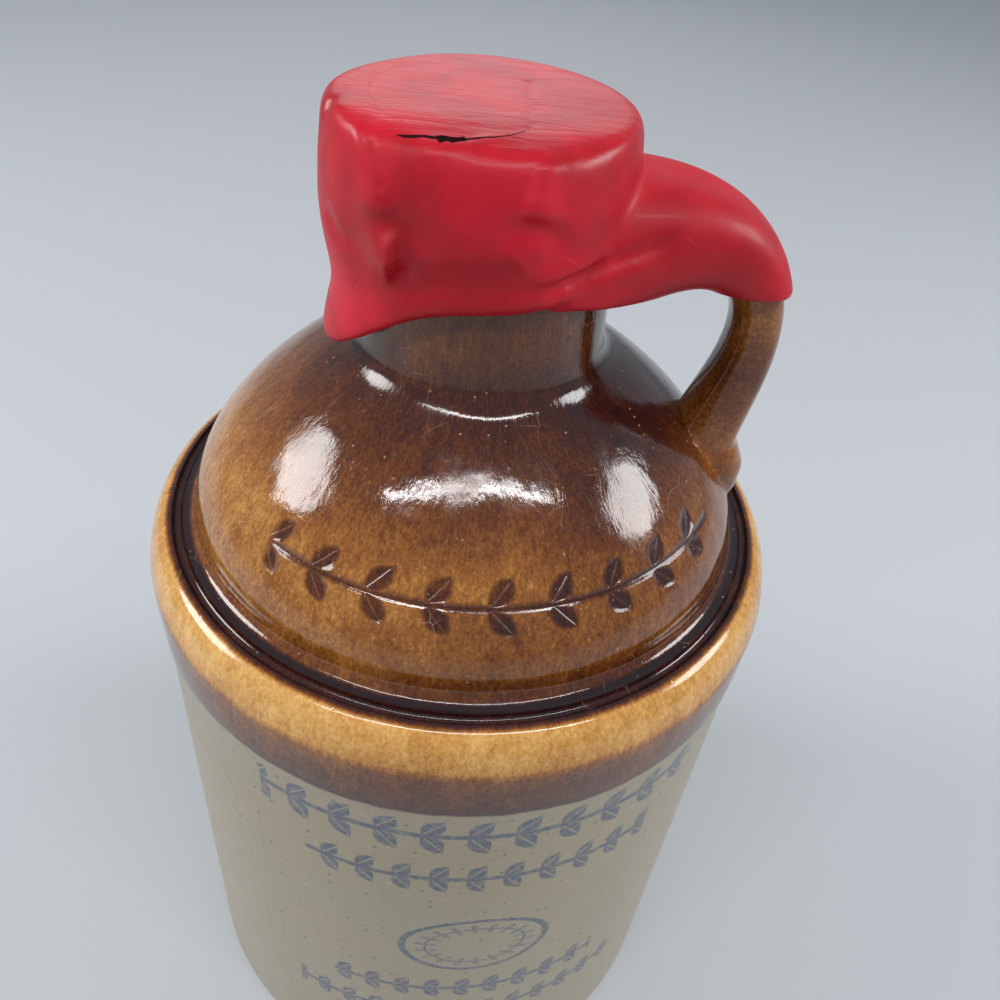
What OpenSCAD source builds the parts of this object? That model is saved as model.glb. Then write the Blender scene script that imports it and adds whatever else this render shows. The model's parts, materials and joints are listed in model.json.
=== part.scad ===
/* [Crock] */
// Height of the crock from the table to the seam under the dome
crock_h = 124.8; // [100:0.2:150]
// Outside radius of the wall just above the foot
crock_r = 54.3; // [53:0.1:60]
// Inward lean of the wall from the foot up to the rim
wall_lean = 1.0; // [0:0.1:2]
// Thickness of the crock and dome walls
wall_t = 7.5; // [4:0.1:9]
// Thickness of the bottom of the crock
base_t = 8.5; // [5:0.1:12]
// Depth of the hollow inside the foot ring
foot_hollow_d = 1.6; // [0.5:0.1:3]
// Width of the flat ring that the jug stands on
foot_ring_w = 4.6; // [3:0.1:8]
// Radius of the rounded outer edge of the foot
foot_round = 3.0; // [1:0.1:5]

/* [Rim and groove] */
// How far the rolled rim swells out past the top of the wall
rim_swell = 0.6; // [0:0.1:1.5]
// Height of the upright part of the rim below its crease
rim_band_h = 15.0; // [8:0.5:24]
// Fall of the rounded ledge from the groove to the crease
ledge_drop = 6.8; // [4:0.1:10]
// Width of the rounded ledge from the groove to the crease
ledge_w = 5.2; // [3.5:0.1:6]
// Width of the groove where the dome sits on the crock
groove_w = 1.8; // [1:0.1:2.4]
// Depth of that groove
groove_d = 0.9; // [0.4:0.1:1.6]

/* [Dome and neck] */
// How far the foot of the dome flares out past its widest upright part
dome_flare = 2.6; // [1:0.1:5]
// Height of the dome from the seam to the foot of the neck
dome_h = 30.8; // [26:0.2:40]
// Height of the flared foot of the dome
dome_foot_h = 3.2; // [2:0.1:5]
// Outside radius of the neck at its foot
neck_r = 18.7; // [17:0.1:22]
// Radius that the neck loses on its way up to the collar
neck_taper = 1.0; // [0:0.1:2]
// Height of the neck from its foot to the top of the lip
neck_h = 31.4; // [28:0.2:40]
// Radius of the soft blend where the neck meets the dome
neck_fillet = 3.0; // [1.5:0.1:5]
// Radius of the bore that takes the cork
bore_r = 12.5; // [10:0.1:14]
// Amount that the collar under the lip stands out from the neck
collar_step = 1.1; // [0.6:0.1:3]
// Height of the collar
collar_h = 10.6; // [9:0.1:14]
// Radius of the rounded edge of the lip
lip_round = 1.8; // [0.8:0.1:2.4]

/* [Handle] */
// Distance of the handle's outermost bend inside the widest part of the dome
handle_inset = 3.6; // [2:0.1:6]
// Height of the upper root above the foot of the neck
handle_rise = 21.4; // [18:0.2:24]
// Thickness of the handle, measured in and out, halfway down
handle_t = 8.4; // [6:0.1:11]
// Width of the handle, measured along the jug's side, halfway down
handle_w = 10.4; // [7:0.1:14]
// Thickness of the pad of clay that is thumbed on at the handle's foot
pad_t = 10.4; // [8:0.1:12]
// Width of that pad
pad_w = 13.0; // [9:0.1:16]
// Height of that pad above the foot of the dome
pad_h = 16.0; // [12:0.2:18]
// Distance of the pad's top inside the handle's outermost bend
pad_inset = 3.4; // [2:0.1:6]

/* [Cork] */
// Length of the cork
cork_len = 30.0; // [20:0.5:38]
// Height of the cork above the lip
cork_proud = 1.4; // [0.6:0.1:2.4]
// Radius that the cork loses from top to bottom
cork_taper = 1.5; // [0.5:0.1:3]
// Bevel around the cork's lower edge
cork_bevel = 1.2; // [0.5:0.1:2]

/* [Paper strip] */
// Width of the paper strip that is glued across the cork
strip_w = 20.4; // [14:0.2:22]
// Thickness of the strip with its glue
strip_t = 0.3; // [0.2:0.05:0.6]
// Sideways distance of the strip's middle from the jug's axis
strip_shift = 5.4; // [0:0.1:6]
// Length of strip left below the lip, down the collar
strip_tail = 7.6; // [4:0.1:8]

/* [Wax] */
// Thickness of the wax over the top of the cork
wax_top_t = 2.1; // [1.2:0.1:4]
// Thickness of the wax where it bulges round the collar
wax_t = 2.7; // [2:0.1:3.4]
// Thickness of the wax on the handle
wax_handle_t = 1.2; // [0.8:0.1:2]
// Distance of the cut round the cork inside the rounded edge of the lip
cap_inset = 0.2; // [0:0.1:0.6]
// Sideways drift of the thick side of the wax, away from the handle
wax_drift = 2.0; // [0:0.1:2.2]
// Height of the wax edge above the foot of the neck, at the front
skirt_rise = 14.0; // [12:0.1:17]
// Rise of the wax edge towards the handle, and its fall on the far side
skirt_lean = 1.2; // [0:0.1:2]
// Extra drop of the long tongue of wax opposite the handle
skirt_tongue = 11.4; // [4:0.2:12]
// Extra thickness of the wax in the corner between the collar and the handle
wax_web_t = 3.8; // [1:0.1:5]
// Drop of the wax edge on the outer face of the handle, below the handle's upper root
wax_handle_drop = 8.4; // [6:0.1:12]

/* [Motion] */
// Height that the stopper lifts to stand clear of the jug
lift = 45; // [35:1:70]

/* [Hidden] */

// Running gap between the cork and its bore
cork_gap = 0.06;
// Gap left for glue and luting between pieces that are fixed together
luting_gap = 0.05;
// Gap between the wax and what it coats
wax_gap = 0.1;
// Gap around the round of wax that lifts away
cap_gap = 0.1;
// Overrun of every cut
over = 1;

// Steps along each curve, and facets of the round forms
curve_steps = 12;
round_fn = 96;
wax_fn = 48;

seam_z = crock_h;
neck_foot_z = seam_z + dome_h;
lip_z = neck_foot_z + neck_h;
collar_z = lip_z - collar_h;
neck_top_r = neck_r - neck_taper;
collar_r = neck_top_r + collar_step;
cork_top_z = lip_z + cork_proud;
cork_bottom_z = cork_top_z - cork_len;
wax_top_z = cork_top_z + wax_top_t;
wall_top_r = crock_r - wall_lean;
rim_r = wall_top_r + rim_swell;
crease_z = seam_z - ledge_drop;
rim_foot_z = crease_z - rim_band_h;
groove_r = rim_r - ledge_w;
dome_seat_r = groove_r - groove_w / 2;
dome_r = dome_seat_r - dome_flare;
handle_out = dome_r - handle_inset;
cap_r = collar_r - lip_round - cap_inset;
dome_base_z = seam_z + dome_foot_h;
crock_in_r = wall_top_r - wall_t;
dome_in_r = dome_r - wall_t;

// A value part of the way from one number or point to another
function mix(a, b, t) = a + (b - a) * t;
// A point on a Bezier curve through control points of any number
function bezier_at(c, t) = len(c) == 1 ? c[0]
    : bezier_at([for (i = [0 : len(c) - 2]) mix(c[i], c[i + 1], t)], t);
function bezier(c, steps = curve_steps, from = 0) =
    [for (i = [from : steps]) bezier_at(c, i / steps)];
// Points of an arc about a centre, from one angle to another
function arc(centre, r, a0, a1, steps = curve_steps) =
    [for (i = [0 : steps]) centre + r * [cos(mix(a0, a1, i / steps)), sin(mix(a0, a1, i / steps))]];
function reversed(list) = [for (i = [len(list) - 1 : -1 : 0]) list[i]];

// Outline of the dome as shares of its width and height, from its widest part to the neck
dome_shares = [[1, 0], [1, 0.28], [0.5, 0.78], [0, 1]];
// Share of the dome's curve that is kept before it blends into the neck
dome_keep_share = 0.9;

function dome_curve(grow) =
    let (size = [dome_r - neck_r, neck_foot_z - dome_base_z])
    [for (i = [0 : curve_steps])
        let (p = bezier_at(dome_shares, i / curve_steps * dome_keep_share))
        [neck_r + size[0] * p[0] + grow, dome_base_z + size[1] * p[1]]];

// Outside of the dome, neck, collar and lip, moved outwards by grow
function top_outline(grow = 0) =
    let (crown = dome_curve(grow), r = neck_r + grow, top_r = neck_top_r + grow, c = collar_r + grow)
    concat(
        bezier([[dome_seat_r + grow, seam_z], [dome_r + grow, seam_z], [dome_r + grow, dome_base_z]]),
        [for (i = [1 : curve_steps]) crown[i]],
        bezier([crown[curve_steps], [r, neck_foot_z], [r, neck_foot_z + neck_fillet]], curve_steps / 2, 1),
        bezier([[top_r, collar_z - collar_step], [top_r, collar_z], [c, collar_z], [c, collar_z + collar_step]],
               curve_steps / 2),
        arc([collar_r - lip_round, lip_z - lip_round], lip_round + grow, 0, 90, curve_steps / 2));

// Inside of the dome, from the seam up to the foot of the bore
dome_inside_shares = [[1, 0], [1, 0.35], [0.45, 0.8], [0, 1]];
function top_inside() =
    let (low = [dome_in_r, seam_z], high = [bore_r, neck_foot_z - wall_t / 2])
    [for (p = bezier(dome_inside_shares)) [mix(high[0], low[0], p[0]), mix(low[1], high[1], p[1])]];

module revolve(points, facets = round_fn) {
    rotate_extrude($fn = facets) polygon(points);
}

// Lower part of the jug: foot ring, upright wall, rolled rim and the ledge that carries the dome
rim_shares = [0.3, 0.7];
ledge_shares = [0.19, 0.08];
module crock() {
    foot_in_r = crock_r - foot_round - foot_ring_w;
    outside = concat(
        arc([crock_r - foot_round, foot_round], foot_round, -90, 0, curve_steps / 2),
        bezier([[wall_top_r, rim_foot_z], [rim_r, mix(rim_foot_z, crease_z, rim_shares[0])],
                [rim_r, mix(rim_foot_z, crease_z, rim_shares[1])], [rim_r, crease_z]]),
        bezier([[rim_r, crease_z], [rim_r - ledge_w * ledge_shares[0], seam_z - ledge_drop * ledge_shares[1]],
                [groove_r + groove_w / 2, seam_z]], curve_steps, 1));
    groove = [for (p = arc([0, 0], 1, 0, -180, curve_steps / 2))
        [groove_r + p[0] * groove_w / 2, seam_z + p[1] * groove_d]];
    inside = concat(
        bezier([[dome_in_r, seam_z], [dome_in_r, seam_z - wall_t], [crock_in_r, seam_z - wall_t],
                [crock_in_r, seam_z - wall_t * 2]], curve_steps / 2),
        arc([crock_in_r - wall_t, base_t + wall_t], wall_t, 0, -90, curve_steps / 2),
        [[0, base_t]]);
    hollow = [[0, foot_hollow_d], [foot_in_r - foot_hollow_d, foot_hollow_d], [foot_in_r, 0]];
    color([0.78, 0.75, 0.64])
    revolve(concat(outside, groove, inside, hollow));
}

// Upper part of the jug: a hollow dome with its neck, collar, lip and bored mouth
module dome_top() {
    color([0.47, 0.26, 0.08])
    revolve(concat(top_outline(), [[bore_r, lip_z]], reversed(top_inside())));
}

// The space that the dome and neck fill, with no hollow, less a gap all round if grow is more than 0
module top_space(grow, facets = round_fn) {
    revolve(concat([[0, seam_z]], top_outline(grow), [[0, lip_z + grow]]), facets);
}

// Middle line of the handle, as shares of its reach out from the neck and its fall to the dome
handle_shares = [[-0.45, 0.16], [0.5, -0.07], [0.95, -0.01], [1.28, 0.22], [0.98, 0.62], [0.66, 0.62], [0.9, 1]];
// Thickness and width along the handle, as shares of the sizes given for it, deep at both roots
section_shares = [[1.9, 1.6], [1, 1.1], [0.75, 0.95], [0.6, 0.9], [1.55, 1], [1.3, 1.45]];
// Squareness of the handle's section: 1 is an ellipse and less is squarer
square_share = 0.8;
handle_rings = 28;
handle_sides = 20;
handle_top_z = neck_foot_z + handle_rise;
handle_drop = handle_top_z - dome_base_z;

function handle_at(t) =
    let (p = bezier_at(handle_shares, t))
    [mix(neck_r, handle_out, p[0]), handle_top_z - handle_drop * p[1]];
function handle_heading(t) =
    let (step = 1 / handle_rings, d = handle_at(min(1, t + step)) - handle_at(max(0, t - step)))
    d / norm(d);

// Rounded oblong of half sizes a and b, as pairs of places across and along
function oblong(a, b) =
    [for (i = [0 : handle_sides - 1])
        let (v = 360 * i / handle_sides, c = cos(v), s = sin(v))
        [a * sign(c) * pow(abs(c), square_share), b * sign(s) * pow(abs(s), square_share)]];

// One ring of the handle's section, square to its middle line
function handle_ring(t, grow) =
    let (p = handle_at(t), h = handle_heading(t), size = bezier_at(section_shares, t))
    [for (q = oblong(handle_t * size[0] / 2 + grow, handle_w * size[1] / 2 + grow))
        [p[0] + q[0] * h[1], q[1], p[1] - q[0] * h[0]]];

// A closed skin over rings of equal count, with a fan of triangles over each end
module skin(rings) {
    n = len(rings[0]);
    m = len(rings);
    middles = [for (ring = [rings[0], rings[m - 1]]) [for (i = [0 : n - 1]) 1] * ring / n];
    points = concat([for (ring = rings) each ring], middles);
    sides = [for (j = [0 : m - 2]) for (i = [0 : n - 1]) let (k = (i + 1) % n)
        each [[j * n + i, (j + 1) * n + k, j * n + k], [j * n + i, (j + 1) * n + i, (j + 1) * n + k]]];
    start = [for (i = [0 : n - 1]) [n * m, i, (i + 1) % n]];
    end = [for (i = [0 : n - 1]) [n * m + 1, (m - 1) * n + (i + 1) % n, (m - 1) * n + i]];
    polyhedron(points, concat(start, sides, end));
}

module handle_sweep(grow = 0, first = 0, last = 1, rings = handle_rings) {
    skin([for (j = [0 : rings]) handle_ring(mix(first, last, j / rings), grow)]);
}

// Pad of clay that is thumbed over the handle's foot and down on to the dome
// Shares are its height, its size, and how far it leans out from the handle
pad_shares = [[0, 0.35, 0.42], [0.3, 0.78, 0.34], [0.6, 1, 0.22], [0.82, 0.95, 0.08], [0.94, 0.72, 0.02],
              [1, 0.4, 0]];
module pad() {
    skin([for (s = pad_shares)
        [for (q = oblong(pad_t * s[1] / 2, pad_w * s[1] / 2))
            [handle_out - pad_inset + pad_t * s[2] + q[0], q[1], dome_base_z + pad_h * s[0]]]]);
}

// Finger loop handle, luted to the neck and to the side of the dome
module handle() {
    color([0.45, 0.25, 0.09])
    difference() {
        union() {
            handle_sweep();
            pad();
        }
        top_space(luting_gap);
    }
}

// Tapered cork, pressed into the bore with its head just above the lip
module cork() {
    top_r = bore_r - cork_gap;
    low_r = top_r - cork_taper;
    color([0.76, 0.6, 0.42])
    revolve([[0, cork_bottom_z], [low_r - cork_bevel, cork_bottom_z], [low_r, cork_bottom_z + cork_bevel],
             [top_r, lip_z], [top_r, cork_top_z], [0, cork_top_z]]);
}

// Side view of the strip's path over the cork and down to the lip, raised by grow
function strip_path(grow) =
    let (edge = bore_r + cork_proud + strip_t)
    [[-cap_r - over, lip_z + grow], [-edge, lip_z + grow], [-bore_r, cork_top_z + grow],
     [bore_r, cork_top_z + grow], [edge, lip_z + grow], [cap_r + over, lip_z + grow]];

// A band across the top, as wide as the strip and grow more, between two heights over the strip's path
module strip_band(low, high, grow = 0) {
    translate([-strip_shift - strip_w / 2 - grow, 0, 0])
    rotate([90, 0, 90])
    linear_extrude(strip_w + grow * 2)
    polygon(concat(strip_path(low), reversed(strip_path(high))));
}

// The part of the paper strip that lies over the cork and lifts away with it
module strip_top() {
    color([0.86, 0.82, 0.72])
    intersection() {
        strip_band(luting_gap, luting_gap + strip_t);
        cylinder(h = wax_top_z, r = cap_r, $fn = round_fn);
    }
}

// One end of the strip, glued over the lip and down the collar, side 1 for the back and -1 for the front
module strip_end(side, grow = 0) {
    low = luting_gap - grow;
    high = luting_gap + strip_t + grow;
    centre = [collar_r - lip_round, lip_z - lip_round];
    tail_z = lip_z - strip_tail - grow;
    lip_in_r = cap_r + cap_gap - grow;
    path = function(g) concat([[lip_in_r, lip_z + g]], arc(centre, lip_round + g, 90, 0, curve_steps / 2),
                              [[collar_r + g, tail_z]]);
    intersection() {
        revolve(concat(path(high), reversed(path(low))));
        translate([-strip_shift - strip_w / 2 - grow, side < 0 ? -cap_r * 2 : 0, 0])
        cube([strip_w + grow * 2, cap_r * 2, wax_top_z]);
    }
}
module strip_front() {
    color([0.86, 0.82, 0.72]) strip_end(-1);
}
module strip_back() {
    color([0.86, 0.82, 0.72]) strip_end(1);
}

// Round of wax over the cork, which lifts away with it
module wax_cap() {
    floor_z = lip_z + wax_gap;
    color([0.74, 0.03, 0.12])
    difference() {
        revolve([[0, floor_z], [cap_r, floor_z], [cap_r, wax_top_z], [0, wax_top_z]]);
        translate([0, 0, lip_z]) cylinder(h = cork_proud + wax_gap, r = bore_r + wax_gap, $fn = round_fn);
        strip_band(-over, luting_gap + strip_t + wax_gap, wax_gap);
    }
}

// Direction of the long tongue of wax, and how much of it is present at an angle round the neck
tongue_angle = 195;
tongue_power = 4;
function tongue_at(a) = pow(max(0, cos(a - tongue_angle)), tongue_power);
// Outline of the wax round the collar: height share from its edge to its shoulder, bulge share of its thickness
wax_shares = [[0, 0.3], [0.05, 0.45], [0.13, 0.45], [0.21, 0.38], [0.3, 0.4], [0.39, 0.58], [0.48, 0.82],
              [0.57, 0.98], [0.66, 1.05], [0.75, 1.05], [0.88, 1], [1, 0.86]];
// How far the tip of the tongue flares out, as a share of the wax's thickness
tongue_flare_share = 1.3;
tongue_flare_power = 3;
// Share of the wax's drift that is there at its lower edge, and where it is complete
drift_low_share = 0.3;
drift_full_share = 0.7;
// How far the top edge is drawn in, as a share of its height
edge_in_share = 0.5;
wax_sides = 60;
wax_edge_steps = 4;

// Folds and hollows left as the soft wax was pressed round the neck and the strip. For each: angle round the
// neck, height share, rise as a share of the wax's thickness, spread in degrees, and spread as a height share
fold_shares = [
    [238, 0.8, 0.45, 8, 0.08], [240, 0.48, 0.5, 7, 0.15], [250, 0.62, -0.25, 9, 0.22], [226, 0.6, -0.2, 8, 0.2],
    [288, 0.84, 0.25, 12, 0.07], [296, 0.28, 0.3, 12, 0.09], [312, 0.34, 0.4, 12, 0.09],
    [328, 0.4, 0.4, 12, 0.09], [140, 1, -0.45, 30, 0.5], [110, 0.4, 0.3, 14, 0.25], [150, 0.4, -0.15, 16, 0.2],
    [75, 0.5, 0.25, 14, 0.25]];
function fold_at(a, h) = [for (f = fold_shares) 1] *
    [for (f = fold_shares)
        let (turn = min(abs(a - f[0]), 360 - abs(a - f[0])))
        f[2] * exp(-pow(turn / f[3], 2) - pow((h - f[1]) / f[4], 2))];

function wax_ring(bulge, h, edge_turn) =
    let (edge_h = wax_top_z - lip_z, drift = wax_drift * mix(drift_low_share, 1, min(1, h / drift_full_share)))
    [for (i = [0 : wax_sides - 1])
        let (a = 360 * i / wax_sides, tongue = tongue_at(a),
             low = neck_foot_z + skirt_rise + skirt_lean * cos(a) - skirt_tongue * tongue,
             flare = tongue_flare_share * tongue * pow(1 - h, tongue_flare_power),
             r = collar_r + wax_t * (bulge + flare + fold_at(a, h))
                 - edge_h * edge_in_share * (1 - cos(edge_turn)),
             z = mix(low, lip_z, h) + edge_h * sin(edge_turn))
        [r * cos(a) - drift, r * sin(a), z]];

module wax_collar() {
    shoulder = wax_shares[len(wax_shares) - 1];
    skin(concat(
        [for (s = wax_shares) wax_ring(s[1], s[0], 0)],
        [for (i = [1 : wax_edge_steps]) wax_ring(shoulder[1], 1, 90 * i / wax_edge_steps)]));
}

// Share of the handle's length that the wax is thickened over, the share that it is swept over before its
// edge is cut, and the share that is hollowed out for the handle
web_share = 0.45;
flap_share = 0.62;
flap_room_share = 0.7;
flap_rings = 18;

// Wax over the top of the handle, thickened into the corner beside the collar, with its edge cut level
module wax_flap() {
    difference() {
        skin([for (j = [0 : flap_rings])
            let (t = flap_share * j / flap_rings)
            handle_ring(t, wax_handle_t + wax_web_t * pow(max(0, 1 - t / web_share), 2))]);
        translate([-handle_out, -handle_w * 2, dome_base_z])
        cube([handle_out * 3, handle_w * 4, handle_drop - wax_handle_drop]);
    }
}

// Dipped wax that stays on the jug, round the lip and collar and over the top of the handle
module wax_sleeve() {
    color([0.74, 0.03, 0.12])
    difference() {
        union() {
            wax_collar();
            wax_flap();
        }
        top_space(wax_gap, wax_fn);
        handle_sweep(wax_gap, 0, flap_room_share);
        translate([0, 0, lip_z]) cylinder(h = wax_top_z, r = cap_r + cap_gap, $fn = wax_fn);
        strip_end(-1, wax_gap);
        strip_end(1, wax_gap);
    }
}

crock();
dome_top();
handle();
cork();
strip_top();
strip_front();
strip_back();
wax_cap();
wax_sleeve();
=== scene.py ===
# A small stoneware jug with a finger loop and a wax-sealed cork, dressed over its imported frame
import json
import math

import bpy
import numpy as np
from mathutils import Matrix, Vector

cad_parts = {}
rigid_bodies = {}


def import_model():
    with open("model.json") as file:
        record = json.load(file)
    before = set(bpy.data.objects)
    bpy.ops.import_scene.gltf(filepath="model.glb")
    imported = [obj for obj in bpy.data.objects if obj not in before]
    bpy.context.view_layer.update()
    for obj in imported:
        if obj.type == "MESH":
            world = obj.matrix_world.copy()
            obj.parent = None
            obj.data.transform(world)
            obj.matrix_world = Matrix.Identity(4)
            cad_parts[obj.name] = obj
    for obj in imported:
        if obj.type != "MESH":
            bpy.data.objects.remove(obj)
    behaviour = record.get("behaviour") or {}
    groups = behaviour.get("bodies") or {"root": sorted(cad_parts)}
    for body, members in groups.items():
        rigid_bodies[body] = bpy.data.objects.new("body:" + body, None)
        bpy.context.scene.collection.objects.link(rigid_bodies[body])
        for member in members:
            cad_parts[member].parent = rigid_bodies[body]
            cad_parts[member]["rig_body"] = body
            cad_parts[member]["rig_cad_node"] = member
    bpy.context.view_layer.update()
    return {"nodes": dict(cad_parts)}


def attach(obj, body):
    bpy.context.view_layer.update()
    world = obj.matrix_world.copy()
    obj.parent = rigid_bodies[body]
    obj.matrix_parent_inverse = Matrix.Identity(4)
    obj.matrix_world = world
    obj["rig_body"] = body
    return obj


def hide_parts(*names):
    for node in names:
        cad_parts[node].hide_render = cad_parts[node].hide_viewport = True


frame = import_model()
nodes = frame["nodes"]
MM = 0.001

# Crock
# The lower half of the jug: buff stoneware, jiggered in a mould, dipped in clear glaze with its shoulder
# in brown glaze, and printed in blue-grey under the glaze. It stands on a foot ring wiped bare.
SEAM = 124.8
GLAZE_LINE = 108.5
FOOT_BARE = 2.2


def srgb(red, green, blue):
    """A colour as seen on screen, 0 to 255, as the linear values that shaders use."""
    parts = [v / 255 for v in (red, green, blue)]
    return (*[p / 12.92 if p < 0.04045 else ((p + 0.055) / 1.055) ** 2.4 for p in parts], 1)


def feed(tree, made, inputs):
    """Sets or links a node's inputs, given by name or number."""
    for name, value in inputs.items():
        if isinstance(value, bpy.types.NodeSocket):
            tree.links.new(value, made.inputs[name])
        else:
            made.inputs[name].default_value = value
    return made


def put(tree, kind, inputs=None, **options):
    """Adds a shader node with its options and inputs."""
    made = tree.nodes.new("ShaderNode" + kind)
    for name, value in options.items():
        setattr(made, name, value)
    return feed(tree, made, inputs or {})


def calc(tree, operation, a, b=0.0):
    """One step of arithmetic, on numbers or sockets."""
    return put(tree, "Math", {0: a, 1: b}, operation=operation).outputs[0]


def plus(tree, a, b):
    """The sum of two numbers or sockets."""
    return calc(tree, "ADD", a, b)


def less(tree, a, b):
    """The first number or socket less the second."""
    return calc(tree, "SUBTRACT", a, b)


def times(tree, a, b):
    """The product of two numbers or sockets."""
    return calc(tree, "MULTIPLY", a, b)


def rise(tree, value, low, high, to_low=0.0, to_high=1.0):
    """Turns a value between low and high smoothly into one between two others."""
    spread = put(tree, "MapRange", {0: value, 1: low, 2: high, 3: to_low, 4: to_high},
                 interpolation_type="SMOOTHSTEP")
    return spread.outputs[0]


def tint(tree, share, first, second):
    """Mixes two colours by a share."""
    return put(tree, "Mix", {0: share, 6: first, 7: second}, data_type="RGBA").outputs[2]


def stops(tree, value, *places):
    """A run of colours along a value: each place is a position and a colour, or a plain number."""
    ramp = put(tree, "ValToRGB", {0: value})
    line = ramp.color_ramp.elements
    while len(line) < len(places):
        line.new(1)
    for element, (position, colour) in zip(line, places):
        element.position = position
        element.color = colour if isinstance(colour, tuple) else (colour, colour, colour, 1)
    return ramp.outputs[0]


def grain(tree, vector, scale, detail=3.0, rough=0.5, warp=0.0):
    """Noise at a scale in features a metre."""
    made = put(tree, "TexNoise", {"Vector": vector, "Scale": scale, "Detail": detail, "Roughness": rough,
                                  "Distortion": warp})
    return made.outputs["Fac"]


def effect(name, takes, gives):
    """Starts a node group with named inputs and outputs, and returns it with its two end nodes."""
    group = bpy.data.node_groups.new(name, "ShaderNodeTree")
    for label, value in takes.items():
        socket = group.interface.new_socket(label, in_out="INPUT", socket_type="NodeSocketFloat")
        socket.default_value = value
    for label, kind in gives.items():
        group.interface.new_socket(label, in_out="OUTPUT", socket_type="NodeSocket" + kind)
    return group, group.nodes.new("NodeGroupInput").outputs, group.nodes.new("NodeGroupOutput")


def use(tree, group, **inputs):
    """Places a node group, its inputs named with underscores for spaces."""
    made = tree.nodes.new("ShaderNodeGroup")
    made.node_tree = group
    return feed(tree, made, {name.replace("_", " "): value for name, value in inputs.items()}).outputs


def finish_of(name):
    """A new material with its Principled shader, ready to be fed."""
    material = bpy.data.materials.new(name)
    material.use_nodes = True
    return material, material.node_tree, material.node_tree.nodes["Principled BSDF"]


def give(piece, material):
    """Leaves a piece with this one material."""
    piece.data.materials.clear()
    piece.data.materials.append(material)


def only(piece):
    """Selects one piece alone and makes it the active one."""
    bpy.ops.object.select_all(action="DESELECT")
    piece.select_set(True)
    bpy.context.view_layer.objects.active = piece


def twin(piece):
    """A copy of a piece with its own mesh."""
    made = piece.copy()
    made.data = piece.data.copy()
    bpy.context.scene.collection.objects.link(made)
    return made


def dressed(node, name, body, material):
    """A copy of a CAD node with its facets joined and smoothed, which is shown in its place."""
    piece = twin(nodes[node])
    piece.name = name
    piece.parent = None
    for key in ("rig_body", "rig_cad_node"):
        del piece[key]
    only(piece)
    bpy.ops.object.mode_set(mode="EDIT")
    bpy.ops.mesh.select_all(action="SELECT")
    bpy.ops.mesh.remove_doubles(threshold=0.00001)
    bpy.ops.mesh.customdata_custom_splitnormals_clear()
    bpy.ops.object.mode_set(mode="OBJECT")
    bpy.ops.object.shade_smooth_by_angle(angle=math.radians(32))
    give(piece, material)
    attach(piece, body)
    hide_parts(node)
    return piece


# Where a point lies round the jug: turn from the handle in radians, height and reach in millimetres
place, taken, given = effect("Place on the jug", {}, {"Turn": "Float", "Height": "Float", "Reach": "Float",
                                                      "Streaked": "Vector"})
at = put(place, "SeparateXYZ", {0: put(place, "TexCoord").outputs["Object"]}).outputs
turn = calc(place, "ARCTAN2", at["Y"], at["X"])
reach = calc(place, "SQRT", plus(place, times(place, at["X"], at["X"]), times(place, at["Y"], at["Y"])))
wide = calc(place, "MAXIMUM", reach, MM)
streaked = put(place, "CombineXYZ", {"X": calc(place, "DIVIDE", at["X"], wide),
                                     "Y": calc(place, "DIVIDE", at["Y"], wide),
                                     "Z": times(place, less(place, at["Z"], reach), 9)})
feed(place, given, {"Turn": turn, "Height": times(place, at["Z"], 1 / MM),
                    "Reach": times(place, reach, 1 / MM), "Streaked": streaked.outputs[0]})

# Brown slip glaze: amber where thin, red-brown where thick, with fine streaks that ran down in the kiln on
# the jug. Round the jug is 1 where the streaks run down it, and 0 on the handle, where they have no one way
brown, taken, given = effect("Brown slip glaze", {"Thickness": 0.5, "Streaks": 0.5, "Round the jug": 1.0},
                             {"Color": "Color", "Roughness": "Float", "Relief": "Float"})
spot = put(brown, "TexCoord").outputs["Object"]
lay = use(brown, place)
cloud = grain(brown, spot, 38, 4, 0.6, 0.5)
loose = times(brown, less(brown, 1, taken["Round the jug"]), 24)
loose = put(brown, "VectorMath", {0: spot, 1: loose}, operation="MULTIPLY").outputs[0]
runs_down = put(brown, "VectorMath", {0: lay["Streaked"], 1: taken["Round the jug"], 2: loose},
                operation="MULTIPLY_ADD").outputs[0]
fine = grain(brown, runs_down, 75, 4, 0.75)
pepper = grain(brown, spot, 2600, 2, 0.6)
run = grain(brown, runs_down, 16, 4, 0.65)
depth = taken["Thickness"]
for unevenness, share in ((cloud, 0.5), (run, taken["Streaks"]), (fine, 0.6), (pepper, 0.3)):
    depth = plus(brown, depth, times(brown, less(brown, unevenness, 0.5), share))
glaze_tone = stops(brown, depth, (0, srgb(232, 184, 112)), (0.2, srgb(204, 146, 72)),
                   (0.42, srgb(150, 92, 36)), (0.62, srgb(104, 54, 18)),
                   (0.82, srgb(62, 24, 14)), (1, srgb(34, 18, 22)))
smear = grain(brown, spot, 120, 3, 0.6)
feed(brown, given, {"Color": glaze_tone, "Roughness": rise(brown, smear, 0.4, 0.75, 0.08, 0.2),
                    "Relief": plus(brown, grain(brown, spot, 85, 2, 0.5), times(brown, run, 0.2))})

# Iron specks and pits that the firing brings out of the clay
specks, taken, given = effect("Iron specks", {"Scale": 600.0, "Amount": 0.3}, {"Mask": "Float"})
spot = put(specks, "TexCoord").outputs["Object"]
cell = put(specks, "TexVoronoi", {"Vector": spot, "Scale": taken["Scale"]})
pick = put(specks, "SeparateColor", {0: cell.outputs["Color"]}).outputs[0]
dot = rise(specks, cell.outputs["Distance"], 0.1, 0.32, 1, 0)
rare = rise(specks, pick, less(specks, 1, taken["Amount"]), 1)
feed(specks, given, {"Mask": times(specks, dot, rare)})

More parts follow.
